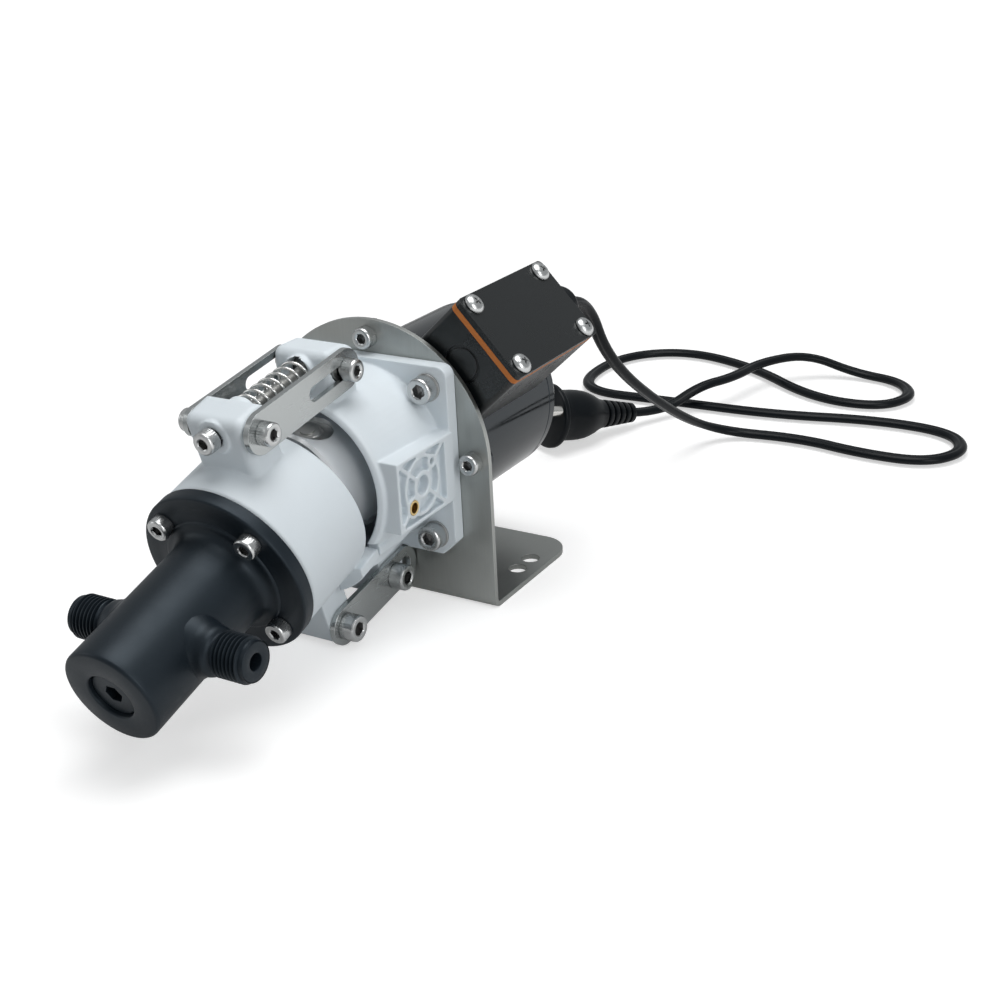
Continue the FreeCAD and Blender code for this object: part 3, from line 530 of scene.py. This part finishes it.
# %% [markdown]
# The background is full white only where the camera sees it. It is dimmer in reflections, and what
# it adds to the light on the pump is dimmer still.

# %% White backdrop
world = bpy.data.worlds.new("studio")
bpy.context.scene.world = world
world.use_nodes = True
tree = world.node_tree
background = tree.nodes["Background"]


def backdrop_seen(tree, in_reflections):
    """1 where the camera sees the backdrop, also through glass, and a share of it in reflections."""
    rays = tree.nodes.new("ShaderNodeLightPath").outputs
    straight = Wire(tree, rays["Is Camera Ray"]) + Wire(tree, rays["Is Transmission Ray"])
    return (straight + Wire(tree, rays["Is Glossy Ray"]) * in_reflections).clamp()


room_light = 0.21
strength = backdrop_seen(tree, 0.3) * (1 - room_light) + room_light
tree.links.new(strength.socket, background.inputs["Strength"])
sky = backdrop_seen(tree, 0.0).mix((0.96, 0.985, 1, 1), (1, 1, 1, 1))
tree.links.new(sky.socket, background.inputs["Color"])

# %% [markdown]
# The floor is white far from the pump and only pale near it, so that it still takes the shadow. In
# reflections its glow is a painted light, brighter to the right, and a painted shadow dims it close to the
# pump.

# %% Floor
bm = bmesh.new()
bmesh.ops.create_grid(bm, x_segments=1, y_segments=1, size=6.0)
floor = mesh_object("floor", bm)
material = bpy.data.materials.new("floor_white")
material.use_nodes = True
tree = material.node_tree
shader = tree.nodes["Principled BSDF"]
shader.inputs["Base Color"].default_value = (0.66, 0.66, 0.66, 1)
shader.inputs["Roughness"].default_value = 0.9
shader.inputs["Specular IOR Level"].default_value = 0.1
place = Wire(tree, tree.nodes.new("ShaderNodeTexCoord").outputs["Object"])
away = place.node("ShaderNodeVectorMath", {"operation": "LENGTH"}, {0: place}, out=1)
far = ((away - 0.35) * 1.4).clamp()
near_glow = 0.54
glow = far.mix((near_glow, near_glow, near_glow, 1), (1, 1, 1, 1))
parts = tree.nodes.new("ShaderNodeSeparateXYZ")
tree.links.new(place.socket, parts.inputs[0])
# Painted light and shade in reflections: the floor glows brighter to the right and is dimmed close to the
# pump.
to_right = (Wire(tree, parts.outputs[0]) * 2.4 + 0.42).clamp() * 0.95 + 0.05
out_of_shade = (away * 6.0 - 0.1).clamp() * 0.8 + 0.2
tree.links.new(glow.socket, shader.inputs["Emission Color"])
tree.links.new(backdrop_seen(tree, to_right * out_of_shade).socket, shader.inputs["Emission Strength"])
floor.data.materials.append(material)


# %% [markdown]
# ## Plates, straps and turned pieces
# Each piece in the list gets the width of its broken edge in millimetres. The bearing in the drum's wall has
# a plain ground finish, whose darker tone is partly painted shade for its recess.

# %% Plates, straps and turned pieces
for node, width in (("bracket", 0.25), ("upper_strap_near", 0.22), ("upper_strap_far", 0.22),
                    ("lower_strap_near", 0.22), ("lower_strap_far", 0.22), ("box_lid", 0.8),
                    ("box_body", 0.35), ("box_gasket", 0.2), ("base_washers", 0.12), ("drum", 0.2),
                    ("end_plug", 0.15), ("motor_rear_bell", 0.5), ("motor_shell", 0.2),
                    ("cord_gland", 0.6), ("front_trunnion", 0.2), ("rear_trunnion", 0.2),
                    ("brass_insert", 0.12), ("piston_cap", 0.3)):
    made = soft_edged(node, width)
    print(made.name, len(made.data.polygons), "faces")
soft_edged("bearing_race", 0.2, "plain_steel")
soft_edged("bearing_ball", 0.15, "plain_steel")

# %% [markdown]
# ## White castings
# The base and the head's cup are moulded in white plastic: every inside corner has a fillet and
# no edge is sharp. A fine voxel remesh of the solid joins its lumps into one skin, a few rounds of
# smoothing give the fillets, and a thinning of the mesh keeps the face count down.

# %% Moulded skins
def moulded(node, voxel_mm, rounds, share_kept):
    piece = mesh_object(node + "_skin", welded(node), 180)
    remesh = piece.modifiers.new("skin", "REMESH")
    remesh.mode = "VOXEL"
    remesh.voxel_size = voxel_mm / 1000
    smooth = piece.modifiers.new("fillets", "SMOOTH")
    smooth.factor = 0.5
    smooth.iterations = rounds
    thin = piece.modifiers.new("thin", "DECIMATE")
    thin.ratio = share_kept
    plain_mesh(piece)
    piece.data.shade_smooth()
    return dress(piece, node)


for node, voxel, rounds, share_kept in (("base_housing", 0.28, 9, 0.18), ("cup_housing", 0.36, 7, 0.3)):
    made = moulded(node, voxel, rounds, share_kept)
    print(made.name, len(made.data.polygons), "faces")

# %% [markdown]
# ## Threads with Geometry Nodes
# A thread is a cylinder whose skin rises and falls as it goes round. The grid of the sleeve is
# sheared by one pitch per turn, so its rows follow the helix and the crests stay crisp. The same
# tree cuts the G 1/4 threads of the ports and the fine thread of the adjusting screw.

# %% Thread tree
def new_tree(name, inputs):
    tree = bpy.data.node_groups.new(name, "GeometryNodeTree")
    tree.interface.new_socket(name="Geometry", in_out="INPUT", socket_type="NodeSocketGeometry")
    for label, kind, value in inputs:
        made = tree.interface.new_socket(name=label, in_out="INPUT", socket_type="NodeSocket" + kind)
        if value is not None:
            made.default_value = value
    tree.interface.new_socket(name="Geometry", in_out="OUTPUT", socket_type="NodeSocketGeometry")
    source = tree.nodes.new("NodeGroupInput")
    return tree, [Wire(tree, socket) for socket in source.outputs if socket.name]


def end_tree(geometry, material):
    """Real faces with the piece's finish, handed to the group's output."""
    real = geometry.node("GeometryNodeRealizeInstances", inputs={"Geometry": geometry})
    done = real.node("GeometryNodeSetMaterial", inputs={"Geometry": real, "Material": material})
    sink = geometry.tree.nodes.new("NodeGroupOutput")
    geometry.tree.links.new(done.socket, sink.inputs[0])


def grown(name, tree, values, base=None):
    """A mesh piece made by a tree; values are its inputs by name."""
    piece = base or bpy.data.objects.new(name, bpy.data.meshes.new(name))
    if base is None:
        bpy.context.collection.objects.link(piece)
    modifier = piece.modifiers.new(name, "NODES")
    modifier.node_group = tree
    for item in tree.interface.items_tree:
        if item.in_out == "INPUT" and item.name in values:
            modifier[item.identifier] = values[item.name]
    return plain_mesh(piece)


thread_tree, (_, crest, depth, pitch, reach, turns, metal) = new_tree("thread", (
    ("Crest radius", "Float", 0.00658), ("Depth", "Float", 0.0008), ("Pitch", "Float", 0.001337),
    ("Length", "Float", 0.012), ("Turns", "Int", 10), ("Material", "Material", None)))
grid = crest.node("GeometryNodeMeshGrid", inputs={
    "Size X": 1.0, "Size Y": 1.0, "Vertices X": 97, "Vertices Y": turns * 8 + 1})
uv = Wire(thread_tree, grid.socket.node.outputs["UV Map"])
parts = thread_tree.nodes.new("ShaderNodeSeparateXYZ")
thread_tree.links.new(uv.socket, parts.inputs[0])
around, along = Wire(thread_tree, parts.outputs[0]), Wire(thread_tree, parts.outputs[1])
rise = (along * turns + around - 1.0) * pitch
height = rise.math("MAXIMUM", rise.math("MINIMUM", rise, reach), 0.0)
wave = ((along * turns).math("PINGPONG", along * turns, 0.5) * 4.0 - 0.5).clamp()
run_in = 0.0012
run_out = 0.0005
lead_in = (height * (1.0 / run_in)).clamp()
lead_out = ((reach - height - depth * 1.5) * (1.0 / run_out)).clamp()
radius = crest - depth * (1.0 - wave * lead_in * lead_out)
angle = around * math.tau
spot = crest.node("ShaderNodeCombineXYZ", inputs={
    0: radius * angle.math("COSINE", angle), 1: radius * angle.math("SINE", angle), 2: height})
moved = crest.node("GeometryNodeSetPosition", inputs={"Geometry": grid, "Position": spot})
closed = crest.node("GeometryNodeMergeByDistance", inputs={"Geometry": moved, "Distance": 0.000002})
end_tree(closed, metal)


def thread(name, crest_mm, depth_mm, pitch_mm, length_mm, finish):
    piece = grown(name, thread_tree, {
        "Crest radius": crest_mm / 1000, "Depth": depth_mm / 1000, "Pitch": pitch_mm / 1000,
        "Length": length_mm / 1000, "Turns": int(length_mm / pitch_mm) + 2, "Material": finishes[finish]})
    bm = bmesh.new()
    bm.from_mesh(piece.data)
    bmesh.ops.dissolve_degenerate(bm, dist=0.000001, edges=bm.edges)
    bmesh.ops.recalc_face_normals(bm, faces=bm.faces)
    bm.to_mesh(piece.data)
    bm.free()
    piece.data.shade_smooth()
    piece.data.set_sharp_from_angle(angle=math.radians(32))
    return piece


# %% [markdown]
# ## Pump head
# The head is turned from black plastic: flange, soft root, tube and end recess are one lathe
# profile, with a ring of points every few millimetres so that the light runs over it evenly.

# %% Head
flange_radius = 27.4
flange_back = 37.6
flange_face = 42.1
spigot_radius = 24.2
spigot_back = 31.0
liner_radius = 9.05
liner_end = 83.9
tube_radius = 15.3
tube_end = 92.7
recess_radius = 7.33
flange_rim = [(flange_radius - inset, flange_face - drop) for inset, drop in (
    (0, 3.1), (0, 1.9), (0, 0.6), (0.12, 0.25), (0.45, 0.05), (0.8, 0), (3.9, 0))]
tube_root = [(tube_radius + out, flange_face + up) for out, up in (
    (4.3, 0), (4.05, 0.1), (3.9, 0.5), (3.6, 0.75), (3.0, 0.85), (2.1, 1.0), (1.3, 1.4), (0.7, 2.0),
    (0.3, 2.8), (0.08, 3.8), (0, 4.9))]
tube_rings = [(tube_radius, v) for v in range(48, 92, 3)]
end_rim = [(tube_radius - inset, tube_end - drop) for inset, drop in (
    (0, 1.1), (0.08, 0.7), (0.3, 0.35), (0.62, 0.13), (1.02, 0.01), (4.3, 0))]
recess_rim = [(recess_radius + out, tube_end - drop) for out, drop in (
    (0.57, 0), (0.27, 0.1), (0.07, 0.3), (0, 0.6))]
body_profile = [
    (liner_radius, spigot_back), (spigot_radius, spigot_back), (spigot_radius, flange_back),
    (flange_radius - 0.3, flange_back), (flange_radius, flange_back + 0.3)]
body_profile += flange_rim + tube_root + tube_rings + end_rim + recess_rim
body_profile += [(recess_radius, liner_end), (liner_radius, liner_end), (liner_radius, spigot_back)]
head_shell = lathe("head_shell", body_profile, steps=160, smooth_angle=40)
dress(place_mesh(head_shell, aimed(in_head(0, 0, 0), head_way)), "head_block")
print("head faces", len(head_shell.data.polygons))

# %% [markdown]
# Each port is a second profile whose foot spreads as it sinks into the tube, like the real fillet,
# and a threaded sleeve is slipped over it.

# %% Ports
port_v = 68.9
port_reach = 31.2
thread_start = 19.8
neck = 5.74
bore = 2.44
port_foot = [
    (9.6, 12.0), (8.9, 13.6), (8.1, 14.7), (7.6, 15.6), (7.35, 16.5), (7.2, 17.6), (6.95, 18.6), (6.5, 19.1),
    (6.1, 19.4), (5.8, 19.6)]
port_profile = [(0, 12.0)] + port_foot + [
    (neck, 20.0), (neck, port_reach - 0.4), (neck - 0.14, port_reach - 0.1), (neck - 0.39, port_reach),
    (bore + 0.31, port_reach), (bore + 0.06, port_reach - 0.1), (bore, port_reach - 0.3), (bore, 13.0),
    (0, 13.0)]
for name, side in (("port_near", 1), ("port_far", -1)):
    way = (side, 0, 0)
    root = lathe(name + "_root", port_profile, smooth_angle=50)
    dress(place_mesh(root, aimed(in_head(0, port_v, 0), way)), "head_block")
    sleeve = thread(name + "_thread", crest_mm=6.58, depth_mm=0.8, pitch_mm=1.337,
                    length_mm=port_reach - thread_start, finish="black_plastic")
    dress(place_mesh(sleeve, aimed(in_head(side * thread_start, port_v, 0), way)), "head_block")
print("thread faces", len(sleeve.data.polygons))

# %% [markdown]
# ## Cap screws
# One socket head cap screw is drawn loop by loop: rounded rim, faintly dished top and a hexagon
# that is sunk into it. Geometry Nodes then sets a copy on each marked point, turned a little
# differently every time, as a fitter would leave them.

# %% Cap screw mesh
def ring_loop(radius, height, sides=0, knurl=0.0, steps=72):
    """Loop of points on a circle, on a hexagon of that half width, or on a knurled rim."""
    made = []
    for i in range(steps):
        a = math.tau * i / steps
        r = radius - knurl * (i % 2)
        if sides:
            r = radius / math.cos((a % (math.tau / sides)) - math.pi / sides)
        made.append((r * math.cos(a), r * math.sin(a), height))
    return made


def loops_mesh(name, loops_mm, smooth_angle=30, first_shaded_loop=99):
    """Skin over a list of loops; loops from first_shaded_loop on carry the painted shade mark."""
    bm = bmesh.new()
    # The painted shade mark: a layer that darkens the sunk loops.
    dark = bm.verts.layers.float.new("painted_shade")
    rows = [[bm.verts.new(Vector(p) / 1000) for p in loop] for loop in loops_mm]
    for k, row in enumerate(rows):
        for vert in row:
            vert[dark] = 1.0 if k >= first_shaded_loop else 0.0
    for low, high in zip(rows, rows[1:]):
        for i in range(len(low)):
            j = (i + 1) % len(low)
            bm.faces.new((low[i], low[j], high[j], high[i]))
    bm.faces.new(list(reversed(rows[0])))
    bm.faces.new(rows[-1])
    bmesh.ops.recalc_face_normals(bm, faces=bm.faces)
    return mesh_object(name, bm, smooth_angle)


def cap_screw(name, shank, head, tall, flats):
    stub = 1.5
    half = flats / 2
    rim = half / math.cos(math.pi / 6) + 0.12
    cut = 0.09
    # The loops of the sunk hexagon carry the painted shade mark, so the socket is painted dark as shade.
    return loops_mesh(name, [
        ring_loop(shank, -stub), ring_loop(shank, 0), ring_loop(head - 0.25, 0),
        ring_loop(head, 0.22, knurl=cut),
        ring_loop(head, tall - 0.95, knurl=cut), ring_loop(head - 0.03, tall - 0.75),
        ring_loop(head - 0.12, tall - 0.38), ring_loop(head - 0.34, tall - 0.1), ring_loop(head - 0.62, tall),
        ring_loop(rim + 0.1, tall - 0.02), ring_loop(rim, tall - 0.06), ring_loop(half, tall - 0.35, 6),
        ring_loop(half, tall - 0.6, 6), ring_loop(half, tall * 0.4, 6),
        ring_loop(half * 0.3, tall * 0.34, 6)], first_shaded_loop=12)


# %% [markdown]
# The tree takes a mesh of single points. Each point carries the turn of its screw.

# %% Fastener tree
fastener_tree, (marks, pattern_screw, metal) = new_tree("fasteners", (
    ("Screw", "Object", None), ("Material", "Material", None)))
info = marks.node("GeometryNodeObjectInfo", inputs={"Object": pattern_screw})
screw_shape = Wire(fastener_tree, info.socket.node.outputs["Geometry"])
turned = marks.node("GeometryNodeInputNamedAttribute", {"data_type": "FLOAT_VECTOR"}, {"Name": "turn"})
copies = marks.node("GeometryNodeInstanceOnPoints", inputs={
    "Points": marks, "Instance": screw_shape, "Rotation": turned})
end_tree(copies, metal)


def fasten(name, node, template, spots, first_turn=0.3):
    """Copies of the template on spots, each a (point, direction); they stand for one node."""
    data = bpy.data.meshes.new(name)
    data.from_pydata([tuple(point) for point, way in spots], [], [])
    turn = data.attributes.new("turn", "FLOAT_VECTOR", "POINT")
    for i, (point, way) in enumerate(spots):
        turn.data[i].vector = aimed(point, way, first_turn + 1.9 * i).to_euler()
    piece = bpy.data.objects.new(name, data)
    bpy.context.collection.objects.link(piece)
    grown(name, fastener_tree, {"Screw": template, "Material": finishes["screw_steel"]}, piece)
    piece.data.shade_smooth()
    piece.data.set_sharp_from_angle(angle=math.radians(30))
    return dress(piece, node)


# %% [markdown]
# The screws sit on the circle of the motor, the square of the base, the flange and the outer faces
# of the straps.

# %% Set the screws
m4 = cap_screw("m4_template", shank=2.0, head=3.5, tall=4.0, flats=3.0)
low_m4 = cap_screw("low_m4_template", shank=2.0, head=3.5, tall=2.8, flats=2.5)
m5 = cap_screw("m5_template", shank=2.5, head=4.25, tall=5.0, flats=4.0)
base_screw = cap_screw("base_screw_template", shank=2.0, head=4.2, tall=4.6, flats=4.0)
front = Vector((0, -1, 0))
near = Vector((1, 0, 0))
motor_circle = 36.5
base_square = 24.5
washer_face = -5.8
flange_circle = 22.0
strap_face = 12.53
fasten("motor_cap_screws", "motor_screws", m4, [
    (at(motor_circle * x, 0, motor_circle * z), front) for x, z in ((1, 0), (0, 1), (-1, 0), (0, -1))])
fasten("base_cap_screws", "base_screws", base_screw, [
    (at(x, washer_face, z), front) for x in (-base_square, base_square) for z in (-base_square, base_square)])
flange_at = flange_circle * math.sqrt(0.5)
fasten("flange_cap_screws", "flange_screws", m4, [
    (in_head(u, flange_face, w), head_way) for u in (-flange_at, flange_at) for w in (-flange_at, flange_at)])
fasten("upper_front_cap_screw", "upper_front_screw", m4, [(at(strap_face, *upper_front), near)])
fasten("upper_front_low_screw", "upper_front_screw", low_m4, [(at(-strap_face, *upper_front), -near)])
fasten("upper_rear_cap_screw", "upper_rear_screw", m4, [(at(strap_face, *upper_rear), near)], 0.8)
fasten("lower_front_cap_screw", "lower_front_screw", m5, [(at(strap_face, *lower_front), near)], 0.5)
fasten("lower_rear_cap_screw", "lower_rear_screw", m5, [(at(strap_face, *lower_rear), near)], 0.1)

# %% [markdown]
# ## Adjusting screw
# Its head stands in front of the front trunnion, and its thread runs through both trunnions and
# ends a little behind the rear one.

# %% Adjusting screw and its thread
head_out = 7.2
upper_length = 40.56
past_rear = 5.0
adjust_face = at(0, *upper_front) - strap_way * (head_out / 1000)
fasten("adjusting_cap_screw", "adjusting_screw", m4, [(adjust_face, -strap_way)])
adjust_thread = thread("adjusting_thread", crest_mm=2.0, depth_mm=0.38, pitch_mm=0.7,
                       length_mm=upper_length + head_out + past_rear, finish="screw_steel")
place_mesh(adjust_thread, aimed(adjust_face, strap_way))
# The thread wears the darker plain steel, partly painted shade for the spring around it.
dress(adjust_thread, "adjusting_screw", "plain_steel")

# %% [markdown]
# ## Lid screws
# The four lid screws are pan heads with a cross recess: a lathe profile gives the dome, and two
# tapered bars are cut from it.

# %% Pan head with a cross recess
pan = lathe("pan_template", [
    (0, -1.5), (1.45, -1.5), (1.45, 0), (3.2, 0), (3.4, 0.25), (3.35, 0.7), (3.0, 1.25), (2.3, 1.75),
    (1.4, 2.08), (0.6, 2.18), (0, 2.2)], steps=64)
bm = bmesh.new()
for turn in (0, math.pi / 2):
    box = bmesh.ops.create_cube(bm, size=1.0)["verts"]
    for vert in box:
        narrow = 1.0 if vert.co.z > 0 else 0.35
        vert.co = Vector((vert.co.x * 3.4 * narrow, vert.co.y * 0.75 * narrow, vert.co.z * 2.4 + 1.7)) / 1000
    bmesh.ops.rotate(bm, verts=box, cent=(0, 0, 0), matrix=Matrix.Rotation(turn, 3, "Z"))
cross = mesh_object("cross_cutter", bm)
cut = pan.modifiers.new("recess", "BOOLEAN")
cut.object = cross
cut.operation = "DIFFERENCE"
cut.use_self = True
plain_mesh(pan)
# The floor of the cross recess carries the painted shade mark, so the recess is painted dark as shade.
painted_shade = pan.data.attributes.new("painted_shade", "FLOAT", "POINT")
for vert in pan.data.vertices:
    aside = max(abs(vert.co.x), abs(vert.co.y)) < 0.0018 and min(abs(vert.co.x), abs(vert.co.y)) < 0.00045
    painted_shade.data[vert.index].value = 1.0 if aside and vert.co.z < 0.0016 and vert.co.z > 0 else 0.0
bpy.data.objects.remove(cross)
lid_top = 57.7
lid_columns = (-11.5, 11.5)
lid_rows = (8.5, 49.8)
fasten("lid_pan_screws", "lid_screws", pan, [
    (on_box(side, y, lid_top), box_up) for side in lid_columns for y in lid_rows])
for template in (m4, low_m4, m5, base_screw, pan):
    bpy.data.objects.remove(template)

# %% [markdown]
# ## Spring
# The wire is a helix whose first coil is a little closer to the next. The spring is pressed shorter as the
# head tilts.

# %% Spring tree and spring
spring_tree, (_, mean, wire, coils, reach, metal) = new_tree("spring", (
    ("Mean radius", "Float", 0.0043), ("Wire radius", "Float", 0.00062), ("Coils", "Float", 8.0),
    ("Length", "Float", 0.023), ("Material", "Material", None)))
points_in_all = 480
line = mean.node("GeometryNodeMeshLine", inputs={"Count": points_in_all})
share = mean.node("GeometryNodeInputIndex") * (1.0 / (points_in_all - 1))
closed_end = (share * 9.0).math("MINIMUM", share * 9.0, 1.0)
crowd = (1.0 - closed_end) * (1.0 - closed_end) * -0.02
angle = share * coils * math.tau
spot = mean.node("ShaderNodeCombineXYZ", inputs={
    0: mean * angle.math("COSINE", angle), 1: mean * angle.math("SINE", angle), 2: (share - crowd) * reach})
bent = mean.node("GeometryNodeSetPosition", inputs={"Geometry": line, "Position": spot})
curve_of_wire = mean.node("GeometryNodeMeshToCurve", inputs={"Mesh": bent})
round_wire = mean.node("GeometryNodeCurvePrimitiveCircle", inputs={"Resolution": 14, "Radius": wire})
swept = mean.node("GeometryNodeCurveToMesh", inputs={
    "Curve": curve_of_wire, "Profile Curve": round_wire, "Fill Caps": True})
end_tree(swept, metal)
spring_start = 8.75
spring_length = 32.35 - spring_start
spring = grown("spring_wire", spring_tree, {
    "Mean radius": 0.0048, "Wire radius": 0.00048, "Coils": 6.5, "Length": spring_length / 1000,
    "Material": finishes["spring_steel"]})
spring_base = at(0, *upper_front) + strap_way * (spring_start / 1000)
place_mesh(spring, aimed(spring_base, strap_way))
spring.data.shade_smooth()
dress(spring, "adjusting_spring")
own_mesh(spring)
print("spring faces", len(spring.data.polygons))

# %% [markdown]
# ## Motor front end
# Behind the bracket the motor starts with a round bell. Its four ears are thin pads that take the
# motor screws, and only their rims show past the plate.

# %% Front bell
plate_back = 1.8
bell_profile = [
    (6.0, plate_back), (30.3, plate_back), (30.7, 2.2), (30.7, 5.0), (30.7, 9.0), (6.0, 9.0),
    (6.0, plate_back)]
ear_profile = [(0, plate_back), (4.4, plate_back), (4.6, 2.0), (4.6, 4.4), (4.4, 4.6), (0, 4.6)]
bell_pieces = [lathe("front_bell", bell_profile, steps=160, smooth_angle=40)]
for k in range(4):
    a = math.pi / 2 * k
    ear_place = Vector((math.cos(a), math.sin(a), 0)) * (motor_circle / 1000)
    ear = lathe("front_ear_" + str(k), ear_profile, steps=48)
    bell_pieces.append(place_mesh(ear, Matrix.Translation(ear_place)))
for piece in bell_pieces:
    dress(place_mesh(piece, aimed(at(0, 0, 0), (0, 1, 0))), "motor_front_bell")
